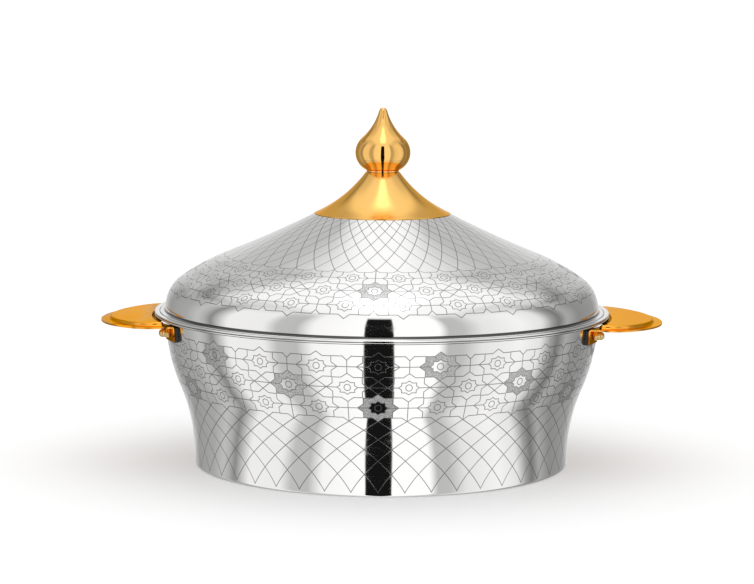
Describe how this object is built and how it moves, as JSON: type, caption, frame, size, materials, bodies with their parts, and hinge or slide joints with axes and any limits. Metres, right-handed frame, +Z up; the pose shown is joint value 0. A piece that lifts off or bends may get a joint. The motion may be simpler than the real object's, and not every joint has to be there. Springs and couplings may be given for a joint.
{
  "type": "insulated casserole",
  "caption": "Round double-walled steel serving pan with flared wall, two gold side handles and a lift-off domed lid topped by a gold cone and onion-shaped finial.",
  "frame": {"origin": "middle of the foot, where it stands on the table", "axes": "+Z up; X through the two handles; Y across, with -Y the side that is seen from the front"},
  "size_m": [0.3464, 0.28, 0.2197],
  "materials": {
    "etched_steel": "mirror polished stainless steel with fine matt etched lines",
    "steel": "polished stainless steel",
    "gold_plate": "satin gold-toned pressed sheet",
    "gold_satin": "satin gold-toned spun sheet",
    "gold_polished": "polished gold-toned casting",
    "brass": "polished brass",
    "black_pad": "matt black moulding",
    "fastener_steel": "plain steel",
    "silicone": "milky soft silicone",
    "foam": "rigid pale yellow foam"
  },
  "bodies": {
    "casserole": {"outer_shell": "etched_steel", "inner_pan": "steel", "body_foam": "foam", "base_plate": "steel", "handle_right": "gold_plate", "handle_left": "gold_plate", "pad_right_back": "black_pad", "pad_right_front": "black_pad", "pad_left_back": "black_pad", "pad_left_front": "black_pad", "handle_screws": "fastener_steel", "handle_washers": "fastener_steel", "cap_nuts": "brass"},
    "lid": {"lid_shell": "etched_steel", "lid_liner": "steel", "lid_foam": "foam", "lid_seal": "silicone", "cone_cap": "gold_satin", "finial": "gold_polished", "finial_washer": "fastener_steel", "finial_bolt": "fastener_steel"}
  },
  "joints": [
    {"name": "lid_lift", "type": "slide", "parent": "casserole", "child": "lid", "axis": [0, 0, 1], "range_m": [0, 0.12]}
  ]
}
